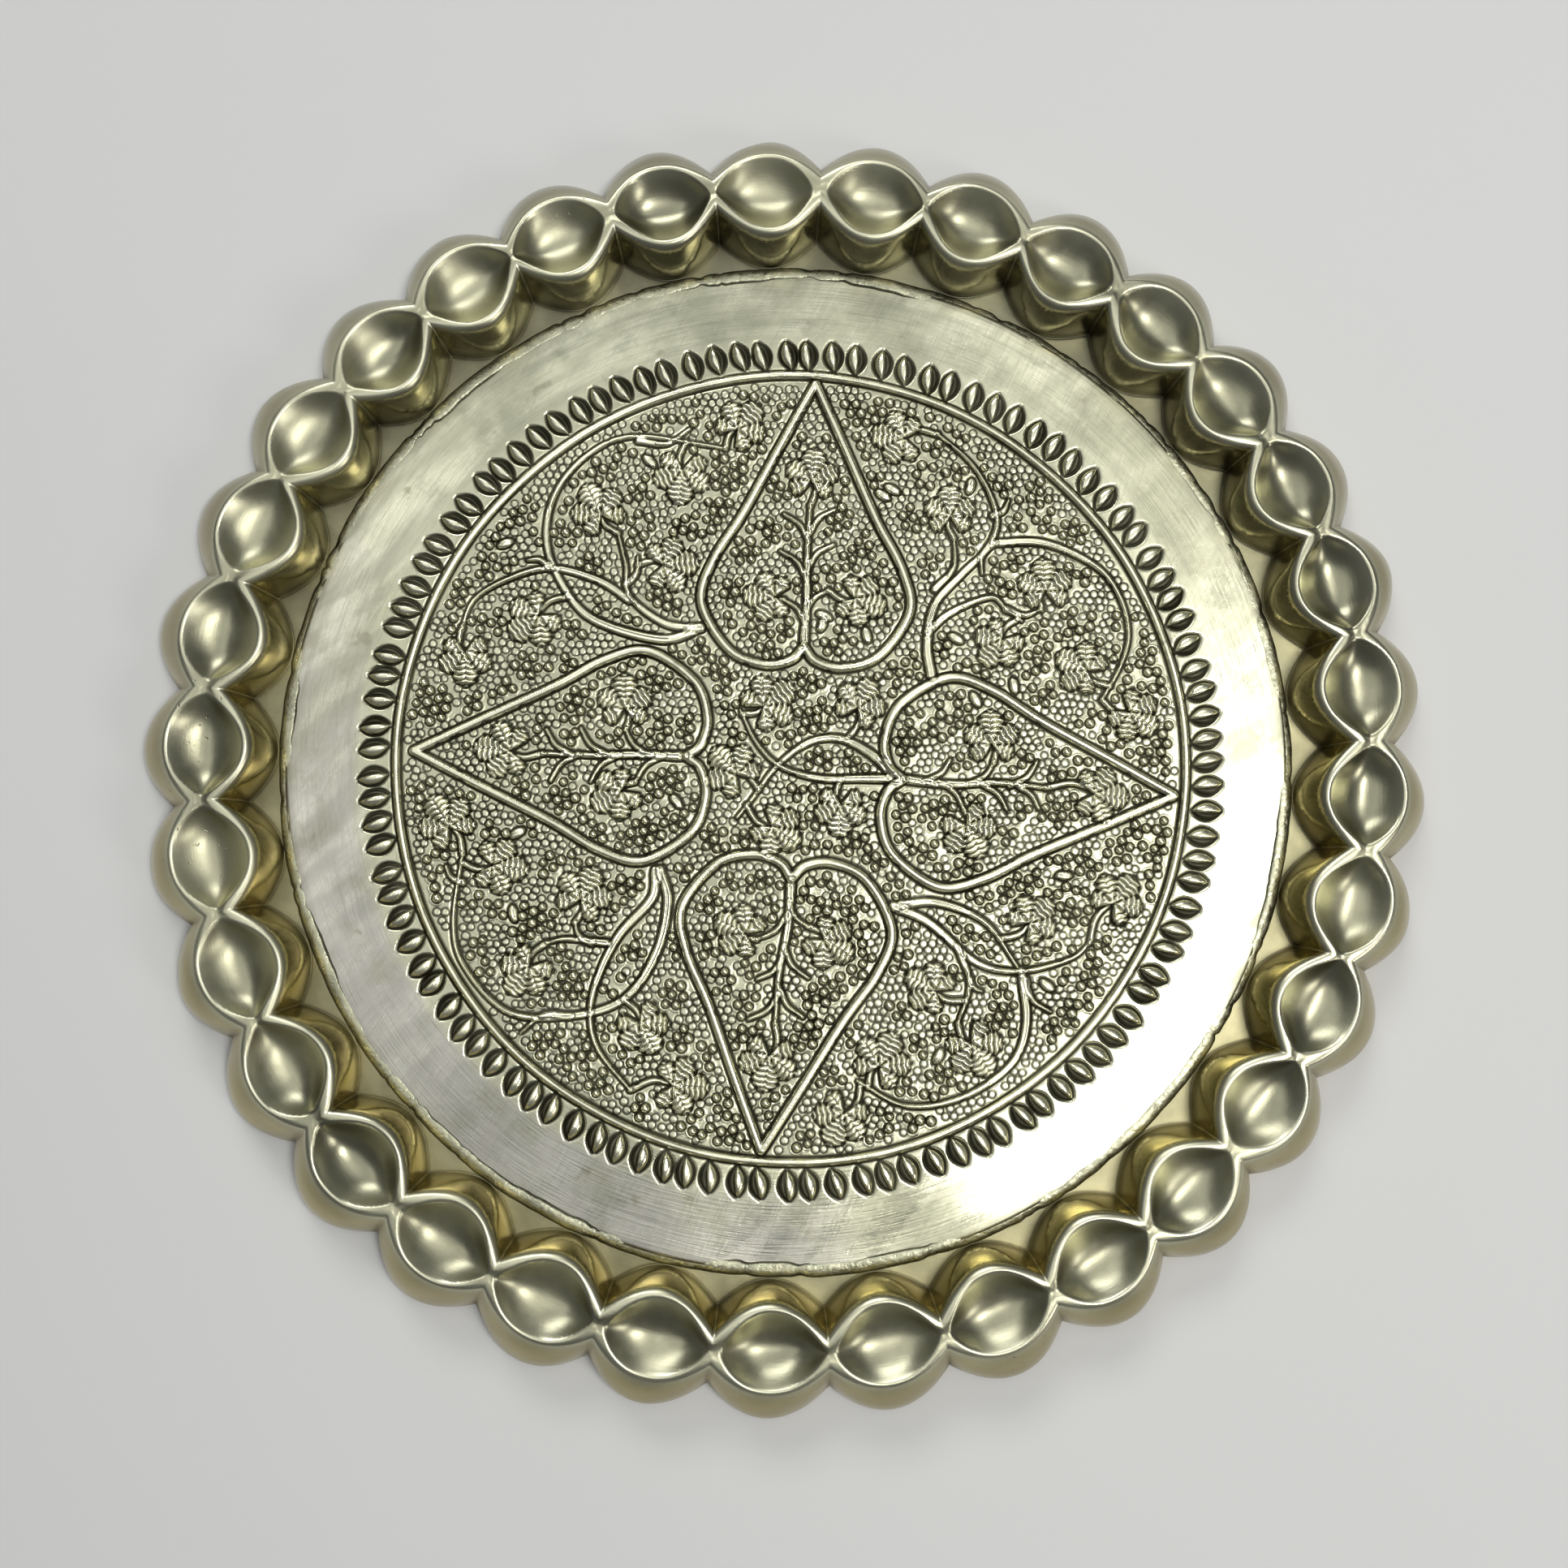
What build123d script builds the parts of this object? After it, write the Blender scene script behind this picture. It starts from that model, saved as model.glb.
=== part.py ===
from build123d import *
import os
from math import cos, radians, sin, sqrt

os.makedirs("parts", exist_ok=True)

# A round serving tray of sheet brass: a flat plate soldered inside a hollow rim raised in lobes.
# Millimetres, +Z up, origin on the surface the tray stands on, at the centre of the rim.

# --- Driving dimensions ---
LOBES = 33
SHEET = 0.9
RIM_HEIGHT = 16.0

# Radii of the rim, at the middle of a lobe (crest) and at the fold between two lobes (fold).
FOOT_CREST = 160.5
FOOT_FOLD = 153.4
SHOULDER_CREST = 157.0
SHOULDER_FOLD = 150.0
SHOULDER_HEIGHT = 8.0
OUTER_RIDGE_CREST = 150.5
OUTER_RIDGE_FOLD = 144.0
INNER_RIDGE_CREST = 132.0
INNER_RIDGE_FOLD = 140.0
WELL_BASE_CREST = 127.8
WELL_BASE_FOLD = 135.2

# The rim is raised by hand: its lobes are spaced unevenly, and are widest in one direction.
FIRST_FOLD_DEG = 0.25
DRIFT_DEG = 1.55
WIDEST_LOBE_DEG = -117

# The dished bowl on top of each lobe: the dent of a barrel whose ends stay a gap above the rim.
BOWL_LENGTH = 24.0
BOWL_WIDTH = 13.4
BOWL_DEPTH = 3.6
BARREL_END_GAP = 2.0

# The plate lies on the rim's flat inner flange, and is soldered to it along its edge.
PLATE_RADIUS = 125.5
LAP = 4.5
SEAM_OUTER_RADIUS = 127.2
SEAM_LAP = 0.9
SEAM_SLOPE = 0.6
SEAM_RISE = 0.4

# The raised bead around the chased medallion, which sits a little off the tray's centre.
BEAD_RADIUS = 98.9
BEAD_WIDTH = 1.6
BEAD_HEIGHT = 0.6
MEDALLION_CENTRE = (1.0, -0.3)

# --- Derived values ---
PLATE_BOTTOM = SHEET
PLATE_TOP = 2 * SHEET
FLANGE_RADIUS = PLATE_RADIUS - LAP


def fold_angle(index):
    """Direction in degrees of the fold before lobe number index."""
    even = FIRST_FOLD_DEG + 360 * index / LOBES
    return even + DRIFT_DEG * sin(radians(even - WIDEST_LOBE_DEG))


def crest_angle(index):
    """Direction in degrees of the middle of lobe number index."""
    return (fold_angle(index) + fold_angle(index + 1)) / 2


def at(radius, angle, height):
    """The point at a radius, a direction in degrees and a height."""
    return (radius * cos(radians(angle)), radius * sin(radians(angle)), height)


def lobed_face(crest, fold, height):
    """A level face whose edge is one arc for each lobe."""
    arcs = []
    for index in range(LOBES):
        start = at(fold, fold_angle(index), height)
        middle = at(crest, crest_angle(index), height)
        end = at(fold, fold_angle(index + 1), height)
        arcs.append(ThreePointArc(start, middle, end))
    return Face(Wire(arcs))


def lobed_solid(levels):
    """A solid through level lobed faces, each given as (crest, fold, height)."""
    return loft([lobed_face(*level) for level in levels], ruled=True)


def bowl(index, thickness):
    """The space of one bowl, grown by a thickness: a barrel lying level above the rim, along the tangent."""
    half_width = BOWL_WIDTH / 2
    half_length = BOWL_LENGTH / 2
    belly = (half_width**2 + BOWL_DEPTH**2) / (2 * BOWL_DEPTH) + thickness
    bend = (half_length**2 + BOWL_DEPTH**2) / (2 * BOWL_DEPTH) + thickness
    axis_rise = belly - thickness - BOWL_DEPTH
    end = axis_rise - BARREL_END_GAP
    reach = sqrt(bend**2 - (bend - belly + end) ** 2)
    stave = ThreePointArc((-reach, end), (0, belly), (reach, end))
    sides = Polyline((reach, end), (reach, 0), (-reach, 0), (-reach, end))
    barrel = revolve(Face(Wire([stave, *sides.edges()])), Axis.X, 360)
    ridge_middle = (INNER_RIDGE_CREST + OUTER_RIDGE_CREST) / 2
    place = Pos(*at(ridge_middle, crest_angle(index), RIM_HEIGHT + axis_rise))
    return place * Rot(0, 0, crest_angle(index) + 90) * barrel


def make_rim():
    """The hollow lobed rim: inner wall, bowls, flared outer wall and flat inner flange."""
    outside = lobed_solid(
        [
            (FOOT_CREST, FOOT_FOLD, 0),
            (SHOULDER_CREST, SHOULDER_FOLD, SHOULDER_HEIGHT),
            (OUTER_RIDGE_CREST, OUTER_RIDGE_FOLD, RIM_HEIGHT),
        ]
    )
    well = lobed_solid(
        [
            (WELL_BASE_CREST, WELL_BASE_FOLD, SHEET),
            (INNER_RIDGE_CREST, INNER_RIDGE_FOLD, RIM_HEIGHT),
        ]
    )
    hollow_outside = lobed_solid(
        [
            (FOOT_CREST - SHEET, FOOT_FOLD - SHEET, 0),
            (SHOULDER_CREST - SHEET, SHOULDER_FOLD - SHEET, SHOULDER_HEIGHT),
            (OUTER_RIDGE_CREST - SHEET, OUTER_RIDGE_FOLD - SHEET, RIM_HEIGHT - SHEET),
        ]
    )
    hollow_inside = lobed_solid(
        [
            (WELL_BASE_CREST + SHEET, WELL_BASE_FOLD + SHEET, 0),
            (INNER_RIDGE_CREST + SHEET, INNER_RIDGE_FOLD + SHEET, RIM_HEIGHT - SHEET),
        ]
    )
    floor_hole = Cylinder(FLANGE_RADIUS, SHEET, align=(Align.CENTER, Align.CENTER, Align.MIN))
    bowls = [bowl(index, 0) for index in range(LOBES)]
    bowl_shells = [bowl(index, SHEET) for index in range(LOBES)]
    hollow = (hollow_outside - hollow_inside) - bowl_shells
    return outside - well - floor_hole - bowls - hollow


def make_plate():
    """The flat centre plate with its raised bead."""
    plate = Pos(0, 0, PLATE_BOTTOM) * Cylinder(
        PLATE_RADIUS, SHEET, align=(Align.CENTER, Align.CENTER, Align.MIN)
    )
    inner = (BEAD_RADIUS - BEAD_WIDTH / 2, 0, PLATE_TOP)
    top = (BEAD_RADIUS, 0, PLATE_TOP + BEAD_HEIGHT)
    outer = (BEAD_RADIUS + BEAD_WIDTH / 2, 0, PLATE_TOP)
    section = Face(Wire([ThreePointArc(inner, top, outer), Line(outer, inner)]))
    bead = Pos(*MEDALLION_CENTRE, 0) * revolve(section, Axis.Z, 360)
    return plate + bead


def make_seam():
    """The solder fillet that joins the plate's edge to the flange, with a lip over the plate."""
    lip = PLATE_RADIUS - SEAM_LAP
    outline = Polyline(
        (PLATE_RADIUS, 0, PLATE_BOTTOM),
        (SEAM_OUTER_RADIUS, 0, PLATE_BOTTOM),
        (SEAM_OUTER_RADIUS - SEAM_SLOPE, 0, PLATE_TOP),
        (PLATE_RADIUS, 0, PLATE_TOP + SEAM_RISE),
        (lip, 0, PLATE_TOP),
        (PLATE_RADIUS, 0, PLATE_TOP),
        close=True,
    )
    return revolve(Face(Wire(outline.edges())), Axis.Z, 360)


export_step(make_rim(), "parts/scalloped_rim.step")
export_step(make_plate(), "parts/centre_plate.step")
export_step(make_seam(), "parts/solder_seam.step")
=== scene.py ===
"""A round brass serving tray: a chased plate soldered inside a rim raised in hollow lobes.

Shapes are worked out in millimetres and turned into metres when a mesh is made.
"""

import math
import random

import bpy
import numpy as np
from mathutils import Matrix, Vector


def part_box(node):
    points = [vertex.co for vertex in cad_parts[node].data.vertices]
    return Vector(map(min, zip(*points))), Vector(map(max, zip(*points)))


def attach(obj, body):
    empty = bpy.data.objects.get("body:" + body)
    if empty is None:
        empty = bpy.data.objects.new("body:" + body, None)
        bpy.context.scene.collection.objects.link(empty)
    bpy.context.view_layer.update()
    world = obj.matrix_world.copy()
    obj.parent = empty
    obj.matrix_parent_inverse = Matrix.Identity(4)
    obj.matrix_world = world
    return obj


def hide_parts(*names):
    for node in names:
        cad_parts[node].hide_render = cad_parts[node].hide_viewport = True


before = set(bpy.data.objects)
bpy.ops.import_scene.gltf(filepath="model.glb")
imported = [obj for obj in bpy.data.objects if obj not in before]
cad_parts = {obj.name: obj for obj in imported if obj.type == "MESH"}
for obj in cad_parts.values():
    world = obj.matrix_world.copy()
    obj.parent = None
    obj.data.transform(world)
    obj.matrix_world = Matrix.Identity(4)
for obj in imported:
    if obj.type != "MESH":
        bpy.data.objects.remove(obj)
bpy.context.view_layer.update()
plate_low, plate_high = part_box("centre_plate")

MM = 0.001
SEED = 41

# --- The tray, as in the CAD model ---
LOBES = 33
FIRST_FOLD_DEG = 0.25
# The folds drift from even spacing, so that the lobes are widest at one side.
DRIFT_DEG = 1.55
WIDEST_LOBE_DEG = -117
SHEET = 0.9
PLATE_RADIUS = round(plate_high[0] / MM, 1)
PLATE_BOTTOM = round(plate_low[2] / MM, 1)
PLATE_TOP = PLATE_BOTTOM + SHEET
MEDALLION_CENTRE = (1.0, -0.3)

# --- The medallion ---
BEAD_RADIUS = 98.9
GROUND_RADIUS = 96.6
GRAPE_RADIUS_LIMIT = 95.8
GRAPE_SPACING = 2.75
BUNCH_TRIES = 3000
BUNCH_GAP = 7.2
BUNCH_RADIUS_LIMIT = 94.5
PUNCH_SPACING = 2.15
PUNCHES_EACH_WAY = 56
# Lines set as in a honeycomb are this share of the spacing apart.
HONEYCOMB = 0.87
PETALS = 107
PETAL_RADIUS = 104.5
PETAL_HALF_LENGTH = 4.0
PETAL_HALF_WIDTH = 2.15
LEAF_LOBE_STEP = math.radians(58)
LEAF_CUT_STEP = 1.35

# --- The grid the relief is drawn on, and the meshes that carry it ---
GRID_HALF = 112.0
GRID_STEP = 0.15
FIELD_RADIUS = 100.0
RELIEF_RADIUS = 110.2
# A multiple of three, because the underside has a third of the top's points round its edge.
CELLS_TO_FIELD_EDGE = 381
PETAL_RINGS = 27
BAND_RINGS = 15
EDGE_ROUNDING = 0.25
# How dark the plate's edge by the seam gets: dirt and painted shade.
EDGE_DIRT_AND_SHADE = 0.45

# --- What is drawn in the medallion, in millimetres from its centre ---

# A heart: half of its outline, as distance from the notch along the axis and distance off the axis.
HEART_HALF = [
    (0, 0), (-3.6, 3.2), (-5, 10), (-1.5, 19), (10, 26.3), (21, 23.8), (33, 17), (51, 8.2), (67.4, 0),
]
HEARTS = [
    {"notch": (2.9, 29.3), "tip": (6.0, 96.9)},
    {"notch": (-26.5, 1.5), "tip": (-94.5, 2.7)},
    {"notch": (27.7, -4.2), "tip": (96.0, -8.2)},
    {"notch": (-0.3, -29.1), "tip": (-7.8, -95.9)},
]

# Vines, each drawn from its thick end to its thin end, with half its width at the two ends.
VINES = [
    # upper left
    (1.2, 0.35, [
        (-23, 34), (-33, 31), (-50, 36), (-58, 45), (-62, 56), (-60, 68), (-52, 78), (-40, 83), (-17, 80),
    ]),
    (1.1, 0.35, [(-23, 34), (-32, 35), (-41, 42), (-42, 50), (-44, 58)]),
    (1.0, 0.35, [(-41, 41), (-49, 46), (-61, 49), (-72, 46), (-80, 41), (-83, 34)]),
    # upper right
    (1.2, 0.35, [(35, 22), (34, 30), (36, 40), (43, 48), (49, 54), (52, 61), (50, 69), (45, 77), (37, 84)]),
    (1.0, 0.35, [(51, 56), (64, 56), (77, 50), (83, 42), (85, 33), (83, 25), (78, 16)]),
    (1.0, 0.35, [(34, 33), (40, 38), (50, 42), (54, 39), (58, 36)]),
    # lower left
    (1.2, 0.35, [(-34, -27), (-35, -34), (-43, -43), (-48, -53), (-50, -62), (-48, -71), (-40, -81)]),
    (1.2, 0.35, [
        (-33, -27), (-31, -35), (-34, -48), (-42, -59), (-55, -63),
        (-70, -62), (-81, -51), (-84, -40), (-82, -23),
    ]),
    (0.9, 0.35, [(-46, -45), (-56, -44), (-61, -45)]),
    # lower right
    (1.2, 0.35, [(25, -36), (36, -35), (48, -40), (56, -51)]),
    (1.2, 0.35, [(25, -36), (34, -40), (46, -50), (57, -52), (69, -49), (74, -45)]),
    (1.1, 0.35, [(57, -52), (58, -65), (54, -75), (42, -83), (28, -85), (16, -79)]),
    (0.9, 0.35, [(41, -46), (44, -55), (41, -65)]),
    # between the hearts
    (1.2, 0.35, [(26, -4), (20, 2), (12, 6), (4, 5), (-4, -1), (-10, -9), (-14, -14)]),
    (1.1, 0.35, [(26, -4), (17, -4), (7, -4), (-3, -1), (-9, 5), (-13, 13)]),
]

# Short stalks off the vines.
STALKS = [
    [(-61, 49), (-67, 51)],
    [(-42, 45), (-39, 52)],
    [(-39, 82), (-26, 85)],
    [(54, 39), (63, 39)],
    [(51, 56), (48, 48)],
    [(51, 63), (55, 67)],
    [(36, 44), (41, 57)],
    [(-50, -45), (-54, -40)],
    [(-82, -30), (-86, -26)],
    [(-55, -63), (-67, -67)],
    [(58, -54), (64, -62)],
    [(44, -54), (47, -57)],
]

# The middle of each leaf.
LEAVES = [
    (-49, 64), (-28, 73), (-13, 86), (-31, 50), (-65, 36), (-82, 26),
    (27, 83), (40, 64), (52, 30), (64, 45), (73, 24), (86, 12),
    (-86, -15), (-73, -26), (-52, -33), (-66, -52), (-37, -66), (-28, -80),
    (34, -56), (22, -74), (45, -71), (60, -39), (12, -88), (81, -34),
    (-6, 15), (17, 15), (12, -12), (-15, -2), (-4, -17),
    (5, 73), (-6, 42), (17, 41),
    (-72, 3), (-44, -8), (-42, 15),
    (50, 6), (44, -17), (77, -8),
    (9, -45), (-6, -74), (-13, -42),
]

# Across the rim, from the flange's inner edge up the inner wall, over the bowl and down to the foot:
# radius and height at the middle of a lobe, then at the fold between two lobes.
RIM_PROFILE = [
    (121.0, 0.9, 121.0, 0.9),
    (126.6, 0.9, 133.4, 0.9),
    (127.4, 1.5, 134.6, 1.5),
    (127.8, 7.8, 135.6, 7.5),
    (129.0, 12.6, 136.8, 12.6),
    (130.0, 14.7, 137.8, 14.6),
    (131.6, 15.8, 139.0, 15.5),
    (134.6, 16.0, 140.4, 15.7),
    (137.8, 16.0, 141.3, 15.5),
    (141.0, 16.0, 142.0, 15.4),
    (144.2, 16.0, 142.7, 15.5),
    (147.6, 16.0, 143.6, 15.7),
    (150.4, 15.8, 145.0, 15.5),
    (152.1, 14.7, 146.2, 14.3),
    (155.0, 11.8, 148.4, 11.2),
    (158.2, 7.2, 150.6, 7.0),
    (160.0, 3.2, 152.2, 3.0),
    (160.4, 0.5, 153.2, 0.5),
    (160.4, 0.0, 153.3, 0.0),
]
# Of those, the rows at the inner ridge, the middle of the bowl and the outer ridge.
INNER_RIDGE_ROW = 6
BOWL_ROW = 9
OUTER_RIDGE_ROW = 12
# The shallow bowl in each lobe's top: depth, share of the lobe's width, squareness of its ends, and how it
# eases into the ridges.
BOWL_DEPTH = 5.2
BOWL_WIDTH = 0.91
BOWL_SQUARENESS = 3
BOWL_EASE = 1.12
# The rim's mesh: points between two rows of the profile, and points round each lobe.
STEPS_PER_SPAN = 4
COLUMNS_PER_LOBE = 32


# --- Curves and fields ---
def smooth_curve(points, steps):
    """A Catmull-Rom curve through the points: an array of steps rows for each span and one at the end."""
    points = np.array(points, float)
    before = 2 * points[0] - points[1]
    after = 2 * points[-1] - points[-2]
    ends = np.vstack([before, points, after])
    share = np.linspace(0, 1, steps, endpoint=False)[:, None]
    rows = []
    for a, b, c, d in zip(ends[:-3], ends[1:-2], ends[2:-1], ends[3:]):
        rows.append(
            b
            + 0.5 * share * (c - a)
            + share**2 * (a - 2.5 * b + 2 * c - 0.5 * d)
            + share**3 * (-0.5 * a + 1.5 * b - 1.5 * c + 0.5 * d)
        )
    rows.append(points[-1:])
    return np.vstack(rows)


def evenly(curve, spacing):
    """The same curve with its points a set spacing apart."""
    lengths = np.hypot(*np.diff(curve, axis=0).T)
    along = np.concatenate([[0], np.cumsum(lengths)])
    count = max(2, int(along[-1] / spacing) + 1)
    wanted = np.linspace(0, along[-1], count)
    return np.column_stack([np.interp(wanted, along, curve[:, 0]), np.interp(wanted, along, curve[:, 1])])


def blurred(field, radius):
    """The field smoothed by a Gaussian of that radius in millimetres."""
    across = np.fft.fftfreq(field.shape[0], GRID_STEP)
    squared = across[:, None] ** 2 + across[None, :] ** 2
    return np.fft.ifft2(np.fft.fft2(field) * np.exp(-2 * (math.pi * radius) ** 2 * squared)).real


class Relief:
    """What chasing did to the sheet, on a square grid about the medallion's centre.

    raised and cut are in millimetres. The dark marks (dirt in fine lines, with painted shade in grooves and
    over one side of each petal) and rubbed, where polishing has brightened the metal, go from 0 to 1.
    """

    def __init__(self):
        self.line = np.arange(-GRID_HALF, GRID_HALF + GRID_STEP / 2, GRID_STEP)
        size = len(self.line)
        self.raised = np.zeros((size, size))
        self.cut = np.zeros((size, size))
        self.stain_and_shade = np.zeros((size, size))
        self.rubbed = np.zeros((size, size))

    def window(self, x, y, reach):
        """The grid near a point: its slices, and the distances along X and Y from the point."""
        row, column = self.cell(x, y)
        cells = int(reach / GRID_STEP) + 1
        rows = slice(max(row - cells, 0), max(row + cells + 1, 0))
        columns = slice(max(column - cells, 0), max(column + cells + 1, 0))
        return (rows, columns), self.line[columns][None, :] - x, self.line[rows][:, None] - y

    def cell(self, x, y):
        """The row and column of the grid point nearest to a point."""
        return int(round((y + GRID_HALF) / GRID_STEP)), int(round((x + GRID_HALF) / GRID_STEP))

    def raise_to(self, where, height):
        self.raised[where] = np.maximum(self.raised[where], height)

    def cut_to(self, where, depth):
        self.cut[where] = np.maximum(self.cut[where], depth)

    def stain_and_shade_to(self, where, amount):
        self.stain_and_shade[where] = np.maximum(self.stain_and_shade[where], amount)

    def rub_to(self, where, amount):
        self.rubbed[where] = np.maximum(self.rubbed[where], amount)

    def near_path(self, curve, reach):
        """The grid points within reach of the curve, their distance from it, and their place along it."""
        distance = np.full(self.raised.shape, np.inf)
        along = np.zeros(self.raised.shape)
        for index, (x, y) in enumerate(curve):
            where, east, north = self.window(x, y, reach)
            gap = np.hypot(east, north)
            closer = gap < distance[where]
            distance[where][closer] = gap[closer]
            along[where][closer] = index / (len(curve) - 1)
        inside = distance < reach
        return inside, distance[inside], along[inside]

    def taken(self, radius):
        """How much of the ground around each grid point is already taken, 0 to 1."""
        return blurred(((self.raised > 0.05) | (self.cut > 0.08)).astype(float), radius)


def ridge(distance, half_width):
    """A rounded ridge: 1 on its line and 0 at its sides."""
    return np.sqrt(np.clip(1 - (distance / half_width) ** 2, 0, 1))


def groove(distance, half_width):
    """A soft groove: 1 on its line, fading away over the half width."""
    return np.exp(-((distance / half_width) ** 2))


def turned(east, north, heading):
    """The same distances, measured along a heading and to the left of it."""
    along = east * math.cos(heading) + north * math.sin(heading)
    return along, north * math.cos(heading) - east * math.sin(heading)


# --- Drawing the medallion ---
def heart_axes(heart):
    """A heart's notch, its length, the direction from notch to tip, and the direction to one side."""
    notch = np.array(heart["notch"])
    run = np.array(heart["tip"]) - notch
    length = np.linalg.norm(run)
    axis = run / length
    return notch, length, axis, np.array([-axis[1], axis[0]])


def heart_curve(heart):
    """The heart's whole outline, from its notch round one side to the tip and back up the other."""
    notch, length, axis, side = heart_axes(heart)
    half = smooth_curve(HEART_HALF, 16)
    half[:, 0] *= length / HEART_HALF[-1][0]
    left = notch + half[:, :1] * axis + half[:, 1:] * side
    right = notch + half[:, :1] * axis - half[:, 1:] * side
    return np.vstack([left, right[::-1]])


def draw_heart(relief, heart):
    """A raised cord with a groove along each side."""
    curve = evenly(heart_curve(heart), 0.25)
    inside, distance, _ = relief.near_path(curve, 3.0)
    relief.raise_to(inside, 1.15 * ridge(distance, 1.2))
    relief.cut_to(inside, 0.5 * groove(distance - 1.3, 0.24))


def heart_vines(heart, wobble):
    """The stem from a heart's notch to its far leaf, and its side branches, as vines."""
    notch, _, axis, side = heart_axes(heart)

    def place(points):
        return [tuple(notch + along * axis + off * side) for along, off in points]

    bend = wobble.uniform(-0.8, 0.8)
    vines = [(1.15, 0.5, place([(1, 0), (12, bend), (24, -bend), (36, 0)]))]
    for along, way in ((6, 1), (9, -1), (17, 1), (20, -1), (27, 1), (29, -1)):
        reach = wobble.uniform(6.5, 9.0)
        elbow = (along + reach * 0.5, way * reach * 0.3)
        end = (along + reach * 0.8, way * reach * 0.8)
        vines.append((0.75, 0.4, place([(along, 0), elbow, end])))
    return vines


def draw_vine(relief, start_width, end_width, points):
    """A tapering stem, grooved down its middle where it is wide, with a cut line along each side."""
    curve = evenly(smooth_curve(points, 12), 0.25)
    inside, distance, along = relief.near_path(curve, 2.2)
    width = start_width + (end_width - start_width) * along
    relief.raise_to(inside, 0.8 * ridge(distance, width))
    relief.cut_to(inside, 0.5 * groove(distance, 0.2) * (width > 0.75))
    relief.cut_to(inside, 0.42 * groove(distance - width - 0.22, 0.26))


def draw_leaf(relief, centre, heading, size):
    """A vine leaf of five lobes, each raised, and crossed by curved cuts either side of its midrib."""
    where, east, north = relief.window(*centre, size + 2)
    ahead, aside = turned(east, north, heading)
    ahead += 1.6
    angle = np.arctan2(aside, ahead)
    lobe = np.clip(np.round(angle / LEAF_LOBE_STEP), -2, 2)
    reach = size * np.array([1.0, 0.86, 0.68])[np.abs(lobe).astype(int)]
    spread = lobe * LEAF_LOBE_STEP
    along = ahead * np.cos(spread) + aside * np.sin(spread)
    across = np.abs(aside * np.cos(spread) - ahead * np.sin(spread))
    share = np.clip(along / reach, 0, 1)
    phase = 2 * math.pi * (along - 0.5 * across + 0.17 * across**2) / LEAF_CUT_STEP
    teeth = -0.3 * np.cos(phase)
    half_width = 0.92 * reach * np.sqrt(share * (1 - share)) * (1 - 0.25 * share) + teeth
    half_width = np.minimum(half_width, 0.56 * along - 0.05)
    inside = (along > 0) & (along < reach) & (across < half_width)
    roll = np.sqrt(np.clip(1 - (across / np.maximum(half_width, 0.01)) ** 2, 0, 1))
    height = (0.6 + 0.6 * roll) * np.clip((reach - along) / 1.2, 0, 1) + 0.05
    relief.raise_to(where, np.where(inside, height, 0))
    clear_of_base = np.clip((along - 1.8) / 0.8, 0, 1)
    ribs = np.clip(np.cos(phase) - 0.45, 0, 1)
    relief.cut_to(where, np.where(inside, 1.5 * ribs * clear_of_base, 0))
    relief.cut_to(where, np.where(inside, 0.35 * groove(across, 0.15) * clear_of_base, 0))
    beyond = np.hypot(np.clip(across - half_width, 0, None), np.clip(along - reach, 0, None))
    # The outline round the leaf is cut and painted dark: painted shade in the deep cut.
    outline = np.where(inside | (along < -1), 0, groove(beyond, 0.5))
    relief.cut_to(where, 0.6 * outline)
    relief.stain_and_shade_to(where, 0.9 * outline)
    relief.rub_to(where, np.where(inside, 0.5, 0))


def draw_grape(relief, x, y, radius):
    """A raised bead with a deep ring pressed round it."""
    where, east, north = relief.window(x, y, radius + 1.0)
    distance = np.hypot(east, north)
    relief.raise_to(where, 1.05 * ridge(distance, radius) + 0.16 * (distance < radius + 0.6))
    relief.cut_to(where, 0.55 * groove(distance - radius - 0.05, 0.17))


def draw_punch(relief, x, y, radius):
    """A ring punched into the ground: a shallow line, darkened with dirt and painted shade, round a flat
    bright disc.
    """
    where, east, north = relief.window(x, y, radius + 0.8)
    distance = np.hypot(east, north)
    relief.raise_to(where, np.where(distance < radius - 0.2, 0.06, 0))
    relief.cut_to(where, 0.1 * groove(distance - radius, 0.22))
    relief.stain_and_shade_to(where, 0.95 * groove(distance - radius, 0.24))
    relief.rub_to(where, np.where(distance < radius - 0.2, 0.3, 0))


def draw_seed(relief, x, y, heading):
    """A small raised oval with a cut down its middle."""
    where, east, north = relief.window(x, y, 3.2)
    along, across = turned(east, north, heading)
    distance = np.hypot(along / 2.1, across / 1.15)
    relief.raise_to(where, 0.7 * ridge(distance, 1))
    relief.cut_to(where, 0.4 * groove((distance - 1.15) * 1.4, 0.25))
    relief.cut_to(where, np.where(np.abs(along) < 1.4, 0.3 * groove(across, 0.16), 0))


def draw_bead_ring(relief):
    """The raised bead round the medallion, with a deep groove inside it and a shallow one outside."""
    east = relief.line[None, :]
    north = relief.line[:, None]
    radius = np.hypot(east, north)
    angle = np.arctan2(north, east)
    near = np.abs(radius - BEAD_RADIUS) < 3
    wander = 0.12 * np.sin(5 * angle + 1) + 0.08 * np.sin(13 * angle)
    distance = (radius - BEAD_RADIUS - wander)[near]
    relief.raise_to(near, 0.95 * ridge(distance, 1.05))
    relief.cut_to(near, 0.55 * groove(distance + 1.15, 0.26))
    relief.cut_to(near, 0.25 * groove(distance - 1.3, 0.3))


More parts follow.
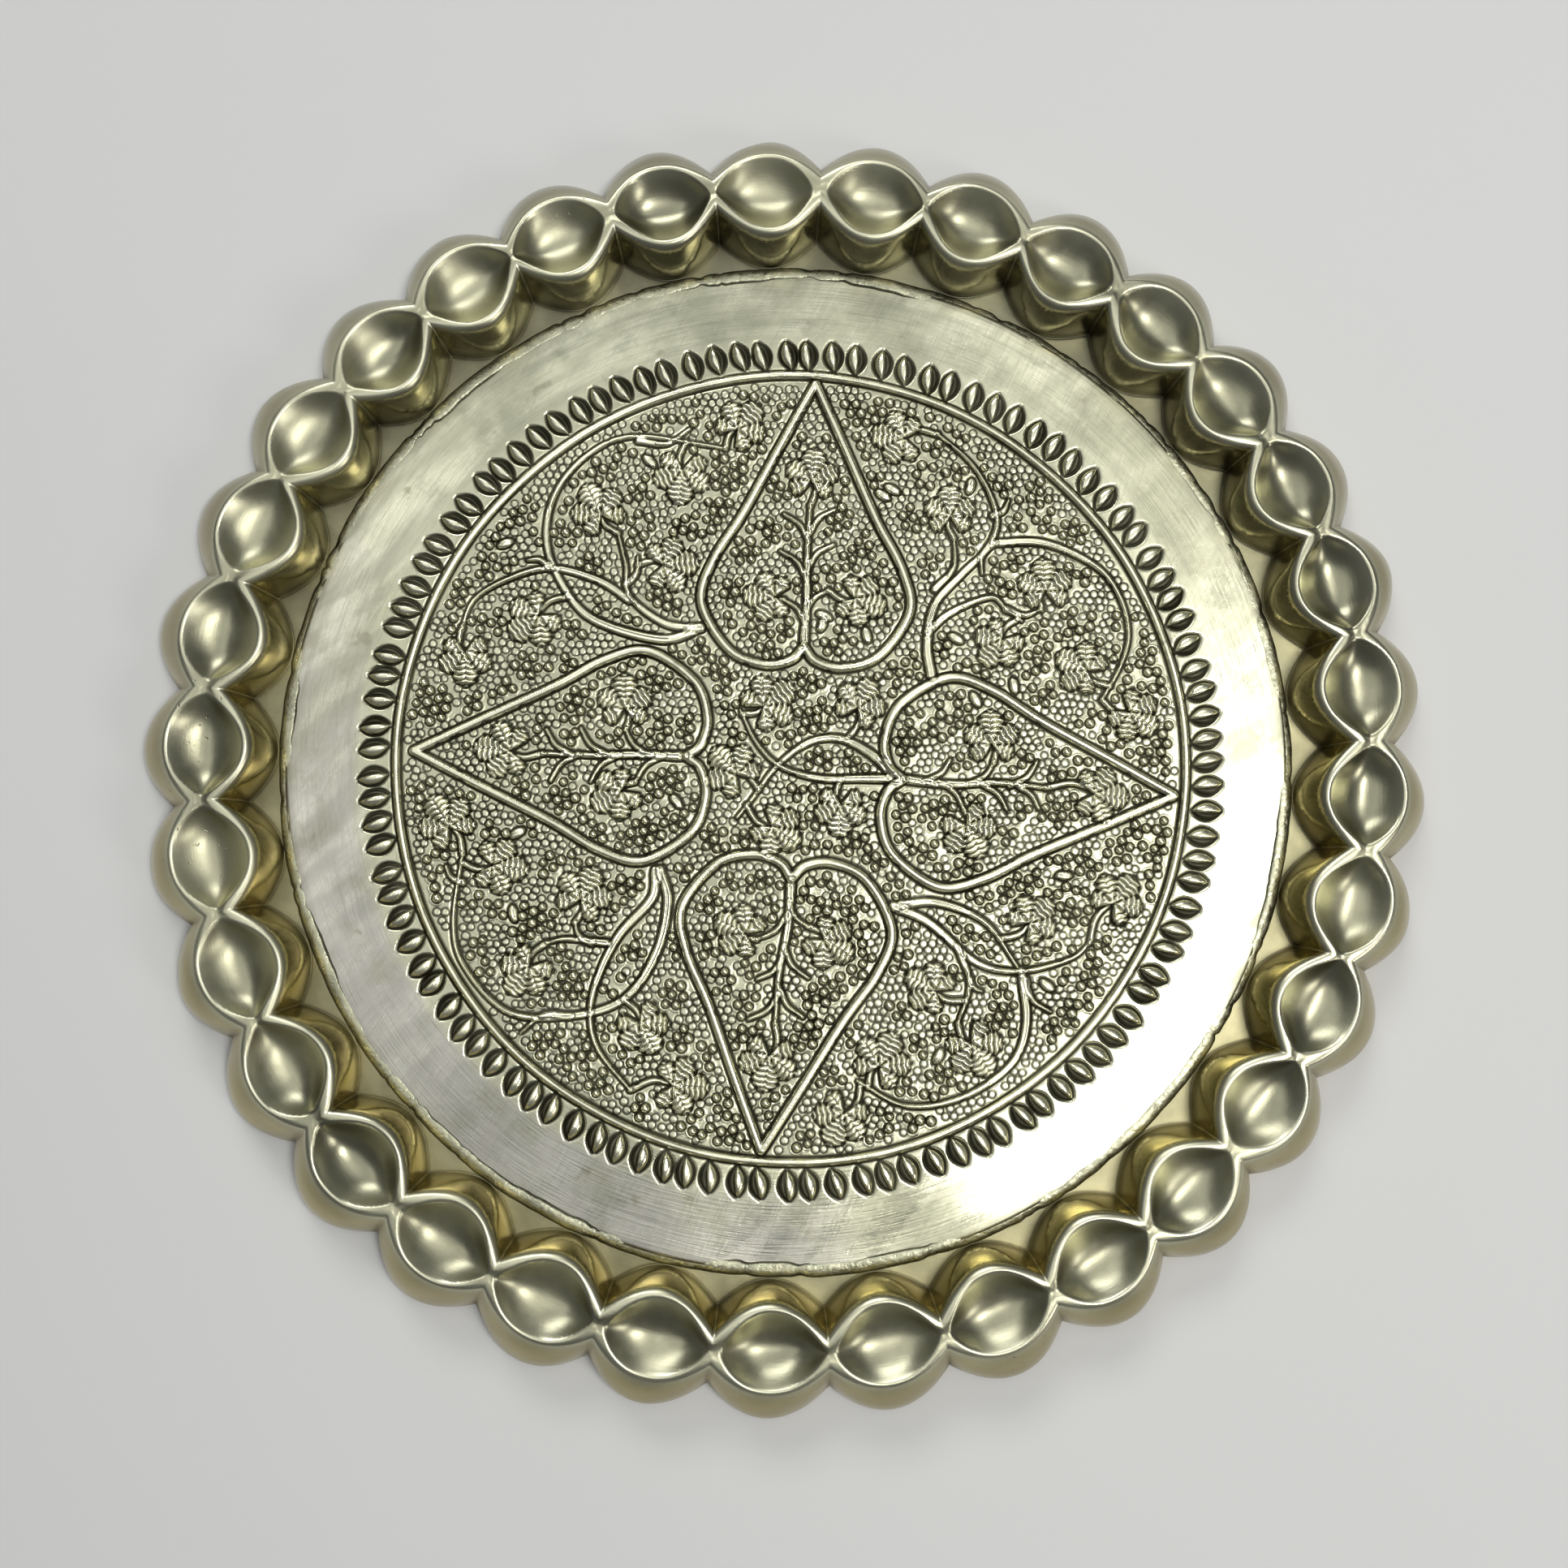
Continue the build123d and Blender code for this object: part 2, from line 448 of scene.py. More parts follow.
def draw_petals(relief, wobble):
    """The ring of almond-shaped petals: domed, outlined with painted shade, cut beside the crest, and
    shaded over that side.
    """
    for index in range(PETALS):
        angle = 2 * math.pi * (index + wobble.uniform(-0.12, 0.12)) / PETALS
        radius = PETAL_RADIUS + wobble.uniform(-0.25, 0.25)
        lean = angle + math.radians(wobble.uniform(5, 15))
        where, east, north = relief.window(radius * math.cos(angle), radius * math.sin(angle), 5.4)
        along, across = turned(east, north, lean)
        share = np.clip(np.abs(along) / PETAL_HALF_LENGTH, 0, 1)
        half_width = PETAL_HALF_WIDTH * (1 - share**2) + 0.02
        inside = (np.abs(across) < half_width) & (share < 1)
        dome = np.clip(1 - (across / half_width) ** 2, 0, 1) * (1 - share**2)
        relief.raise_to(where, np.where(inside, 1.25 * dome**0.65, 0))
        rim = np.where(share < 1, np.abs(np.abs(across) - half_width - 0.1), 9)
        relief.cut_to(where, 0.6 * groove(rim, 0.42))
        # Painted shade in the outline groove and over one side of each petal.
        relief.stain_and_shade_to(where, 0.8 * groove(rim, 0.4))
        relief.stain_and_shade_to(where, np.where(inside & (across < -0.2 * half_width), 0.75, 0))
        fold = np.abs(across + 0.35 * half_width)
        relief.cut_to(where, np.where(inside, 0.8 * groove(fold, 0.3), 0))


def direction_from_stem(leaf, stems):
    """The direction in degrees from the nearest point of a stem to the leaf, and that point."""
    gaps = stems - np.array(leaf)
    nearest = stems[np.argmin(np.hypot(gaps[:, 0], gaps[:, 1]))]
    return math.degrees(math.atan2(leaf[1] - nearest[1], leaf[0] - nearest[0])), nearest


def bowed(start, end, bow):
    """A line from start to end that bows to one side by that share of its length."""
    start = np.array(start, float)
    run = np.array(end) - start
    middle = start + 0.5 * run + bow * np.array([-run[1], run[0]])
    return [tuple(start), tuple(middle), tuple(end)]


def fill_with_grapes(relief, wobble):
    """Bunches of grapes, in rows set close together, in the larger free patches of the ground."""
    taken = relief.taken(0.8)
    centres = []
    for _ in range(BUNCH_TRIES):
        radius = BUNCH_RADIUS_LIMIT * math.sqrt(wobble.random())
        angle = wobble.uniform(0, 2 * math.pi)
        x = radius * math.cos(angle)
        y = radius * math.sin(angle)
        turn = wobble.uniform(0, math.pi / 3)
        crowded = any(math.hypot(x - a, y - b) < BUNCH_GAP for a, b in centres)
        if crowded or taken[relief.cell(x, y)] > 0.2:
            continue
        centres.append((x, y))
        reach = wobble.uniform(3.8, 7.0)
        for line in range(-2, 3):
            for place in range(-3, 4):
                across = (place + 0.5 * (line % 2)) * GRAPE_SPACING + wobble.uniform(-0.25, 0.25)
                down = line * GRAPE_SPACING * HONEYCOMB + wobble.uniform(-0.25, 0.25)
                grape_x = x + across * math.cos(turn) - down * math.sin(turn)
                grape_y = y + across * math.sin(turn) + down * math.cos(turn)
                if math.hypot(across, down * 1.3) > reach:
                    continue
                if math.hypot(grape_x, grape_y) > GRAPE_RADIUS_LIMIT:
                    continue
                where, _, _ = relief.window(grape_x, grape_y, 0.9)
                if taken[relief.cell(grape_x, grape_y)] < 0.4 and relief.raised[where].max() < 0.4:
                    draw_grape(relief, grape_x, grape_y, wobble.uniform(0.95, 1.18))


def fill_with_punches(relief, wobble):
    """Ring punches packed over all the ground that is still free."""
    taken = relief.taken(0.5)
    line_count = int(GROUND_RADIUS / (PUNCH_SPACING * HONEYCOMB))
    for line in range(-line_count, line_count + 1):
        for place in range(-PUNCHES_EACH_WAY, PUNCHES_EACH_WAY + 1):
            x = (place + 0.5 * (line % 2)) * PUNCH_SPACING + wobble.uniform(-0.42, 0.42)
            y = line * PUNCH_SPACING * HONEYCOMB + wobble.uniform(-0.42, 0.42)
            if math.hypot(x, y) > GROUND_RADIUS:
                continue
            if taken[relief.cell(x, y)] < 0.4:
                draw_punch(relief, x, y, wobble.uniform(0.92, 1.06))


def draw_vines_and_leaves(relief, wobble):
    """The vines, their stalks, and the leaves, each leaf pointing away from the stem nearest to it."""
    vines = list(VINES)
    for heart in HEARTS:
        vines.extend(heart_vines(heart, wobble))
    for stalk in STALKS:
        vines.append((0.95, 0.3, bowed(*stalk, wobble.choice((-0.18, 0.18)))))
    stems = np.vstack([evenly(smooth_curve(points, 8), 1.0) for _, _, points in vines])
    directions = []
    for leaf in LEAVES:
        direction, nearest = direction_from_stem(leaf, stems)
        directions.append(direction)
        vines.append((0.75, 0.5, bowed(nearest, leaf, wobble.choice((-0.15, 0.15)))))
    for start_width, end_width, points in vines:
        draw_vine(relief, start_width, end_width, points)
    for leaf, direction in zip(LEAVES, directions):
        heading = math.radians(direction + wobble.uniform(-14, 14))
        draw_leaf(relief, leaf, heading, wobble.uniform(8.2, 9.4))


def scatter_seeds(relief, wobble):
    """A few seeds where the ground is clear."""
    taken = relief.taken(1.4)
    for _ in range(60):
        x = wobble.uniform(-80, 80)
        y = wobble.uniform(-80, 80)
        if math.hypot(x, y) < 92 and taken[relief.cell(x, y)] < 0.1:
            draw_seed(relief, x, y, wobble.uniform(0, math.pi))


def chase_medallion():
    """The finished height field, masks of the dark in its recesses (patina and painted shade) and of its
    worn tops.
    """
    wobble = random.Random(SEED)
    relief = Relief()
    for heart in HEARTS:
        draw_heart(relief, heart)
    draw_vines_and_leaves(relief, wobble)
    draw_bead_ring(relief)
    scatter_seeds(relief, wobble)
    fill_with_grapes(relief, wobble)
    fill_with_punches(relief, wobble)
    draw_petals(relief, wobble)

    height = blurred(relief.raised - relief.cut, 0.1)
    # Dark in the hollows, by how far each point lies below its smoothed surroundings: patina and painted
    # shade.
    recess = np.clip((blurred(height, 0.6) - height) / 0.27, 0, 1)
    recess = np.maximum(recess, blurred(relief.stain_and_shade, 0.08))
    rubbed = blurred(relief.rubbed, 0.15)
    recess *= 1 - 0.4 * rubbed
    worn = np.clip((height - blurred(height, 1.0)) / 0.4 + 0.7 * rubbed, 0, 1)
    return height, recess, worn


def sampled(field, x, y):
    """The field's value at each point, between its four nearest grid points."""
    column = np.clip((x + GRID_HALF) / GRID_STEP, 0, field.shape[1] - 1.001)
    row = np.clip((y + GRID_HALF) / GRID_STEP, 0, field.shape[0] - 1.001)
    left = column.astype(int)
    low = row.astype(int)
    east = column - left
    north = row - low
    lower = field[low, left] * (1 - east) + field[low, left + 1] * east
    upper = field[low + 1, left] * (1 - east) + field[low + 1, left + 1] * east
    return lower * (1 - north) + upper * north


def unevenness(x, y):
    """The gentle waves that hammering and use leave in the sheet, in millimetres."""
    wobble = random.Random(SEED + 1)
    total = np.zeros_like(x)
    for _ in range(14):
        heading = wobble.uniform(0, 2 * math.pi)
        length = wobble.uniform(28, 75)
        phase = wobble.uniform(0, 2 * math.pi)
        along = x * math.cos(heading) + y * math.sin(heading)
        total += 0.0009 * length * np.sin(2 * math.pi * along / length + phase)
    return total


# --- Meshes ---
def make_object(name, points, faces, body="root", attributes=None):
    """A smooth-shaded mesh object from points in millimetres."""
    mesh = bpy.data.meshes.new(name)
    loops = np.concatenate([np.asarray(block, np.int32).ravel() for block in faces])
    counts = np.concatenate([np.full(len(block), np.asarray(block).shape[1], np.int32) for block in faces])
    starts = np.concatenate([[0], np.cumsum(counts)[:-1]]).astype(np.int32)
    mesh.vertices.add(len(points))
    mesh.vertices.foreach_set("co", (np.asarray(points, np.float32) * MM).ravel())
    mesh.loops.add(len(loops))
    mesh.loops.foreach_set("vertex_index", loops)
    mesh.polygons.add(len(counts))
    mesh.polygons.foreach_set("loop_start", starts)
    mesh.polygons.foreach_set("loop_total", counts)
    mesh.polygons.foreach_set("use_smooth", np.ones(len(counts), bool))
    for label, values in (attributes or {}).items():
        layer = mesh.attributes.new(label, "FLOAT", "POINT")
        layer.data.foreach_set("value", np.asarray(values, np.float32))
    mesh.update()
    mesh.validate()
    piece = bpy.data.objects.new(name, mesh)
    bpy.context.scene.collection.objects.link(piece)
    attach(piece, body)
    return piece


def disc_grid(cells, radius):
    """A square grid of points mapped onto a disc, and the indices of its rim in order round the disc."""
    steps = np.arange(-cells, cells + 1)
    east, north = np.meshgrid(steps, steps)
    ring = np.maximum(np.abs(east), np.abs(north))
    safe = np.maximum(ring, 1)
    flat = np.abs(east) >= np.abs(north)
    lean = np.where(flat, north * np.sign(east), -east * np.sign(north)) / safe
    sideways = np.where(east >= 0, 0, math.pi)
    upright = np.where(north >= 0, math.pi / 2, -math.pi / 2)
    angle = np.where(flat, sideways, upright) + lean * math.pi / 4
    x = ring / cells * radius * np.cos(angle)
    y = ring / cells * radius * np.sin(angle)
    size = 2 * cells + 1
    index = np.arange(size * size).reshape(size, size)
    corners = [index[:-1, :-1], index[:-1, 1:], index[1:, 1:], index[1:, :-1]]
    quads = np.column_stack([corner.ravel() for corner in corners])
    rim = index.ravel()[ring.ravel() == cells]
    order = np.argsort(np.arctan2(y.ravel()[rim], x.ravel()[rim]) % (2 * math.pi))
    return x.ravel(), y.ravel(), quads, rim[order]


def joined_rings(inner, outer):
    """Quads between two closed rings of points, anticlockwise seen from above."""
    return np.column_stack([inner, outer, np.roll(outer, -1), np.roll(inner, -1)])


class Skin:
    """A mesh built up block by block, with each point's darkening (patina, dirt and painted shade) and
    wear.
    """

    def __init__(self):
        self.points = []
        self.faces = []
        self.recess = []
        self.worn = []
        self.count = 0

    def add(self, x, y, z, recess, worn=0.0):
        """Adds points and gives back their indices. z, recess and worn may be one value for them all."""
        none = np.zeros(len(x))
        self.points.append(np.column_stack([x, y, none + z]))
        self.recess.append(none + recess)
        self.worn.append(none + worn)
        self.count += len(x)
        return np.arange(self.count - len(x), self.count)

    def add_ring(self, ring, x, y, z, recess):
        """Adds a ring of points joined to an earlier ring, and gives back their indices."""
        following = self.add(x, y, z, recess)
        self.faces.append(joined_rings(ring, following))
        return following


def start_with_medallion(skin, height, recess, worn):
    """The chased top, out to the petals' far ends. Gives back its outer ring and that ring's angles."""
    centre_x, centre_y = MEDALLION_CENTRE
    x, y, quads, ring = disc_grid(CELLS_TO_FIELD_EDGE, FIELD_RADIUS)
    angle = np.arctan2(y[ring], x[ring])
    skin.faces.append(quads)
    for radius in np.linspace(FIELD_RADIUS, RELIEF_RADIUS, PETAL_RINGS + 1)[1:]:
        following = len(x) + np.arange(len(ring))
        x = np.concatenate([x, radius * np.cos(angle)])
        y = np.concatenate([y, radius * np.sin(angle)])
        skin.faces.append(joined_rings(ring, following))
        ring = following
    z = PLATE_TOP + sampled(height, x, y) + unevenness(x + centre_x, y + centre_y)
    skin.add(x + centre_x, y + centre_y, z, sampled(recess, x, y), sampled(worn, x, y))
    return ring, angle


def add_band(skin, ring, angle):
    """The plain band from the petals to the plate's edge, rounded over. Gives back the edge's ring."""
    start_x, start_y, _ = skin.points[0][ring].T
    for share in np.linspace(0, 1, BAND_RINGS + 1)[1:]:
        radius = PLATE_RADIUS - (EDGE_ROUNDING if share == 1 else 0)
        x = start_x * (1 - share) + radius * np.cos(angle) * share
        y = start_y * (1 - share) + radius * np.sin(angle) * share
        # Darker towards the edge: dirt and painted shade where the plate meets the seam.
        dirt_and_shade = EDGE_DIRT_AND_SHADE * max(0, share - 0.75) / 0.25
        ring = skin.add_ring(ring, x, y, PLATE_TOP + unevenness(x, y), dirt_and_shade)
    x = PLATE_RADIUS * np.cos(angle)
    y = PLATE_RADIUS * np.sin(angle)
    return skin.add_ring(ring, x, y, PLATE_TOP - 0.35, EDGE_DIRT_AND_SHADE)


def add_underside(skin, ring, height):
    """The edge's lower part and the underside, where the chasing shows faintly from behind."""
    edge_x, edge_y, _ = skin.points[-1].T
    centre_x, centre_y = MEDALLION_CENTRE
    x, y, quads, rim = disc_grid(CELLS_TO_FIELD_EDGE // 3, PLATE_RADIUS - 2)
    z = PLATE_BOTTOM + 0.3 * sampled(blurred(height, 0.8), x - centre_x, y - centre_y)
    under = skin.add(x, y, np.maximum(z, PLATE_BOTTOM), 0.25)
    skin.faces.append(under[quads[:, ::-1]])
    # A strip joins the lower edge to the underside's rim. Each face has four points of the edge, the last
    # being the next face's first, and two of the rim.
    first, second, third = skin.add_ring(ring, edge_x, edge_y, PLATE_BOTTOM, 0.3).reshape(-1, 3).T
    inner = under[rim]
    strip = [first, second, third, np.roll(first, -1), np.roll(inner, -1), inner]
    skin.faces.append(np.column_stack(strip))


def make_plate():
    """The plate, with its chasing on top and, more faintly, underneath."""
    height, recess, worn = chase_medallion()
    skin = Skin()
    ring, angle = start_with_medallion(skin, height, recess, worn)
    ring = add_band(skin, ring, angle)
    add_underside(skin, ring, height)
    attributes = {"recess": np.concatenate(skin.recess), "worn": np.concatenate(skin.worn)}
    piece = make_object("chased_plate", np.vstack(skin.points), skin.faces, attributes=attributes)
    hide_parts("centre_plate")
    return piece


def fold_angle(index):
    """Direction in radians of the fold before lobe number index, which may be a fraction."""
    even = FIRST_FOLD_DEG + 360 * index / LOBES
    return np.radians(even + DRIFT_DEG * np.sin(np.radians(even - WIDEST_LOBE_DEG)))


def rim_surface():
    """The rim's outer skin: rows of points across it, their creasing, and the columns' profile rows."""
    profile = smooth_curve(RIM_PROFILE, STEPS_PER_SPAN)
    share = np.linspace(-1, 1, COLUMNS_PER_LOBE, endpoint=False)
    across = 0.4 * share + 0.6 * np.sin(math.pi / 2 * share)
    wobble = random.Random(SEED + 2)
    rows = []
    creases = []
    station = np.arange(len(profile)) / STEPS_PER_SPAN
    from_middle = (station - BOWL_ROW) / (OUTER_RIDGE_ROW - BOWL_ROW)
    on_top = np.clip(1 - np.abs(from_middle) / 2.1, 0, 1)
    on_outside = np.clip((station - OUTER_RIDGE_ROW) / 2, 0, 1)
    for lobe in range(LOBES):
        start = fold_angle(lobe)
        end = fold_angle(lobe + 1)
        depth = BOWL_DEPTH * wobble.uniform(0.86, 1.1)
        taller = wobble.uniform(-0.4, 0.0)
        wider = wobble.uniform(-0.5, 0.4)
        off_middle = wobble.uniform(-0.07, 0.07)
        lean = wobble.uniform(-0.08, 0.08)
        skew = wobble.uniform(-0.06, 0.06)
        dent_at = wobble.uniform(-0.6, 0.6)
        dent_depth = wobble.uniform(0.0, 0.5)
        dent_row = wobble.uniform(14, 16)
        for place in across:
            bulge = (1 - place**2) * (1 + skew * place)
            angle = start + (end - start) * (place + 1) / 2
            radius = profile[:, 2] + (profile[:, 0] - profile[:, 2]) * bulge
            height = profile[:, 3] + (profile[:, 1] - profile[:, 3]) * bulge
            height += bulge * on_top * taller
            sideways = abs((place - off_middle) / BOWL_WIDTH) ** BOWL_SQUARENESS
            inward = np.abs(from_middle - lean * place) ** 2
            height -= depth * np.clip(1 - sideways - inward, 0, 1) ** BOWL_EASE
            radius += bulge * on_outside * wider * np.clip(height / 6, 0, 1)
            dent = dent_depth * math.exp(-(((place - dent_at) / 0.35) ** 2)) * bulge
            radius -= dent * np.exp(-((station - dent_row) ** 2))
            rows.append(np.column_stack([radius * np.cos(angle), radius * np.sin(angle), height]))
            creases.append(np.full(len(station), math.exp(-(1 - abs(place)) * 13)))
    return np.array(rows), np.array(creases), station


def surface_normals(surface):
    """Unit normals of a closed band of points, pointing out of the metal."""
    around = np.roll(surface, -1, axis=0) - np.roll(surface, 1, axis=0)
    across = np.gradient(surface, axis=1)
    normals = np.cross(across, around)
    return normals / np.linalg.norm(normals, axis=2, keepdims=True)


def rim_shades(creases, station):
    """How dark (painted shade), how worn and how golden (painted reflection) each point of the rim's outer
    skin is.
    """
    # Painted shade at the foot of the inner wall and over the flange, which lie low beside the plate.
    flange_shade = np.exp(-(((station - 2.1) / 0.5) ** 2)) + 0.55 * (station < 2)
    foot_shade = np.exp(-(((station - 18) / 1.2) ** 2))
    on_wall = np.clip(1 - np.abs(station - 3.6) / 2.4, 0, 1)
    on_wall += np.clip(1 - np.abs(station - 15.5) / 2.6, 0, 1)
    on_crest = np.exp(-(((station - INNER_RIDGE_ROW) / 0.8) ** 2))
    on_crest += np.exp(-(((station - OUTER_RIDGE_ROW) / 0.8) ** 2))
    # The golden tone is painted reflection: on the inner wall, a little on the flange, and on the outer
    # wall.
    golden = np.clip((5.6 - station) / 1.2, 0, 1) * np.where(station < 1.6, 0.3, 1)
    golden += 0.9 * np.clip((station - 12.6) / 2, 0, 1)
    # The dark is painted shade: in the creases of the folds on the walls, low beside the plate and at the
    # foot.
    recess = np.clip(creases * on_wall[None, :] + 0.75 * flange_shade + 0.5 * foot_shade, 0, 1)
    worn = np.repeat(on_crest[None, :], len(creases), axis=0)
    wall = np.repeat(golden[None, :], len(creases), axis=0)
    return recess, worn, wall


def make_rim():
    """The rim: its outer skin, and an inner skin a sheet's thickness behind it, joined at both edges."""
    outer, creases, station = rim_surface()
    inner = (outer - SHEET * surface_normals(outer))[:, ::STEPS_PER_SPAN]
    inner[:, :, 2] = np.clip(inner[:, :, 2], 0, None)
    inner[:, 0] = outer[:, 0] * [1, 1, 0]
    foot = outer[:, -1]
    shrink = 1 - SHEET / np.linalg.norm(foot[:, :2], axis=1, keepdims=True)
    inner[:, -1] = np.column_stack([foot[:, :2] * shrink, np.zeros(len(foot))])
    rows, columns = outer.shape[:2]
    back_columns = inner.shape[1]
    index = np.arange(rows * columns).reshape(rows, columns)
    back = rows * columns + np.arange(rows * back_columns).reshape(rows, back_columns)
    step = np.roll(index, -1, axis=0)
    back_step = np.roll(back, -1, axis=0)
    front = [index[:, :-1], index[:, 1:], step[:, 1:], step[:, :-1]]
    behind = [back[:, :-1], back_step[:, :-1], back_step[:, 1:], back[:, 1:]]
    faces = [
        np.column_stack([part.ravel() for part in front]),
        np.column_stack([part.ravel() for part in behind]),
        np.column_stack([index[:, 0], step[:, 0], back_step[:, 0], back[:, 0]]),
        np.column_stack([index[:, -1], back[:, -1], back_step[:, -1], step[:, -1]]),
    ]
    recess, worn, wall = rim_shades(creases, station)
    none = np.zeros(back.size)
    piece = make_object(
        "lobed_rim",
        np.vstack([outer.reshape(-1, 3), inner.reshape(-1, 3)]),
        faces,
        attributes={
            "recess": np.concatenate([recess.ravel(), none + 0.5]),
            "worn": np.concatenate([worn.ravel(), none]),
            "wall": np.concatenate([wall.ravel(), none]),
        },
    )
    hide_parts("scalloped_rim")
    return piece


def make_seam():
    """The solder that holds the plate's edge to the flange: a lumpy line with gaps and pits."""
    wobble = random.Random(SEED + 3)
    steps = 1500
    angle = np.linspace(0, 2 * math.pi, steps, endpoint=False)
    lump = np.zeros(steps)
    spread = np.zeros(steps)
    for waves in (7, 17, 37, 61, 97, 151):
        size = 0.8 / math.sqrt(waves)
        lump += size * np.sin(waves * angle + wobble.uniform(0, 6.28))
        spread += size * np.sin(waves * angle + wobble.uniform(0, 6.28))
    gap = np.zeros(steps)
    for _ in range(60):
        at = wobble.uniform(0, 2 * math.pi)
        width = wobble.uniform(0.004, 0.016)
        away = (angle - at + math.pi) % (2 * math.pi) - math.pi
        gap = np.maximum(gap, wobble.uniform(0.2, 0.7) * np.exp(-((away / width) ** 2)))
    top = np.clip(0.08 + 0.07 * lump, 0.02, 0.25) * (1 - 0.8 * gap)
    outside = PLATE_RADIUS + 1.6 + 0.4 * spread - 0.9 * gap
    inside = PLATE_RADIUS - 2.2 + 0.7 * spread + 1.2 * gap
    section = [
        (inside, np.full(steps, PLATE_TOP - 0.16)),
        (inside + 0.9, PLATE_TOP + 0.35 * top),
        (np.maximum(inside + 1.4, PLATE_RADIUS - 0.5), PLATE_TOP + top),
        (outside - 0.8, PLATE_TOP - 0.1 + 0.6 * top),
        (outside - 0.25, PLATE_TOP - 0.5 + 0.2 * top),
        (outside, np.full(steps, PLATE_BOTTOM - 0.02)),
        (np.full(steps, PLATE_RADIUS - 0.2), np.full(steps, PLATE_BOTTOM + 0.02)),
        (np.full(steps, PLATE_RADIUS - 0.3), np.full(steps, PLATE_TOP - 0.15)),
    ]
    points = [np.column_stack([r * np.cos(angle), r * np.sin(angle), z]) for r, z in section]
    index = np.arange(len(section) * steps).reshape(len(section), steps)
    faces = [joined_rings(ring, following) for ring, following in zip(index, np.roll(index, -1, axis=0))]
    # Each row's darkening: dirt and painted shade, most low down on the outer flank and underneath, and in
    # the gaps.
    dirt_and_shade = (0.1, 0.0, 0.0, 0.1, 0.4, 0.9, 0.9, 0.9)
    shade = np.concatenate([np.clip(gap + dark, 0, 1) for dark in dirt_and_shade])
    attributes = {"recess": shade, "worn": shade * 0}
    piece = make_object("solder_line", np.vstack(points), faces, attributes=attributes)
    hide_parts("solder_seam")
    return piece


# --- Materials ---
class Nodes:
    """Short calls to build a material's node tree."""

    def __init__(self, name):
        self.material = bpy.data.materials.new(name)
        self.material.use_nodes = True
        self.tree = self.material.node_tree
        self.shader = self.tree.nodes["Principled BSDF"]
        self.position = self.add("ShaderNodeTexCoord").outputs["Object"]
        self.x, self.y, self.z = self.add("ShaderNodeSeparateXYZ", {0: self.position}).outputs
        x_squared = self.times(self.x, self.x)
        y_squared = self.times(self.y, self.y)
        self.radius = self.math("SQRT", self.math("ADD", x_squared, y_squared))

    def link(self, source, target):
        """Gives an input a fixed value or the output of another node."""
        if isinstance(source, (int, float, tuple)):
            target.default_value = source
        else:
            self.tree.links.new(source, target)

    def add(self, kind, inputs=None, **settings):
        """A new node with those settings and inputs."""
        node = self.tree.nodes.new(kind)
        for key, value in settings.items():
            setattr(node, key, value)
        for key, source in (inputs or {}).items():
            self.link(source, node.inputs[key])
        return node

    def math(self, operation, a, b=0.0, clamp=False):
        return self.add("ShaderNodeMath", {0: a, 1: b}, operation=operation, use_clamp=clamp).outputs[0]

    def times(self, a, b):
        return self.math("MULTIPLY", a, b)

    def attribute(self, name):
        return self.add("ShaderNodeAttribute", attribute_name=name).outputs["Fac"]

    def noise(self, scale, detail=4.0, roughness=0.55, vector=None):
        place = self.position if vector is None else vector
        inputs = {"Scale": scale, "Detail": detail, "Roughness": roughness, "Vector": place}
        return self.add("ShaderNodeTexNoise", inputs).outputs["Fac"]

    def between(self, value, low, high, out_low=0.0, out_high=1.0):
        """A smooth step from one output to the other as the value goes from low to high."""
        inputs = {"Value": value, "From Min": low, "From Max": high, "To Min": out_low, "To Max": out_high}
        return self.add("ShaderNodeMapRange", inputs, interpolation_type="SMOOTHSTEP").outputs["Result"]

    def mix(self, share, a, b):
        """The colour a share of the way from a to b. Inputs 6 and 7 and output 2 are the colour ones."""
        return self.add("ShaderNodeMix", {"Factor": share, 6: a, 7: b}, data_type="RGBA").outputs[2]

    def tinted(self, colour, tone, mask, share):
        """The colour moved towards a tone by a share of the mask."""
        return self.mix(self.times(mask, share), colour, tone)

    def metal(self, colour, rough, normal):
        """The finished material: bare metal of that colour."""
        self.link(colour, self.shader.inputs["Base Color"])
        self.shader.inputs["Metallic"].default_value = 1.0
        self.link(rough, self.shader.inputs["Roughness"])
        self.link(normal, self.shader.inputs["Normal"])
        return self.material

    def brushed(self, across, along):
        """Fine streaks that run round the tray's centre."""
        safe = self.math("MAXIMUM", self.radius, 0.004)
        round_x = self.times(self.math("DIVIDE", self.x, safe), along)
        round_y = self.times(self.math("DIVIDE", self.y, safe), along)
        outward = self.times(self.math("ADD", self.radius, self.z), across)
        joined = self.add("ShaderNodeCombineXYZ", {0: round_x, 1: round_y, 2: outward})
        return self.noise(1.0, detail=3.0, vector=joined.outputs[0])

    def strokes(self, across, along, heading):
        """Fine straight-ish strokes that run one way over the tray, bent a little by slow noise."""
        wave = self.add("ShaderNodeTexNoise", {"Scale": 9.0, "Vector": self.position}).outputs["Color"]
        drift = self.add("ShaderNodeVectorMath", {0: wave, "Scale": 0.03}, operation="SCALE").outputs[0]
        bent = self.add("ShaderNodeVectorMath", {0: self.position, 1: drift}, operation="ADD").outputs[0]
        inputs = {"Vector": bent, "Rotation": (0, 0, heading), "Scale": (1 / along, 1 / across, 1)}
        place = self.add("ShaderNodeMapping", inputs, vector_type="TEXTURE")
        return self.noise(1.0, detail=3.0, vector=place.outputs[0])

    def bump(self, height, strength, distance, below=None):
        """A normal roughened by the height, in metres, on top of the one below."""
        node = self.add("ShaderNodeBump", {"Strength": strength, "Distance": distance, "Height": height})
        if below is not None:
            self.link(below, node.inputs["Normal"])
        return node.outputs["Normal"]


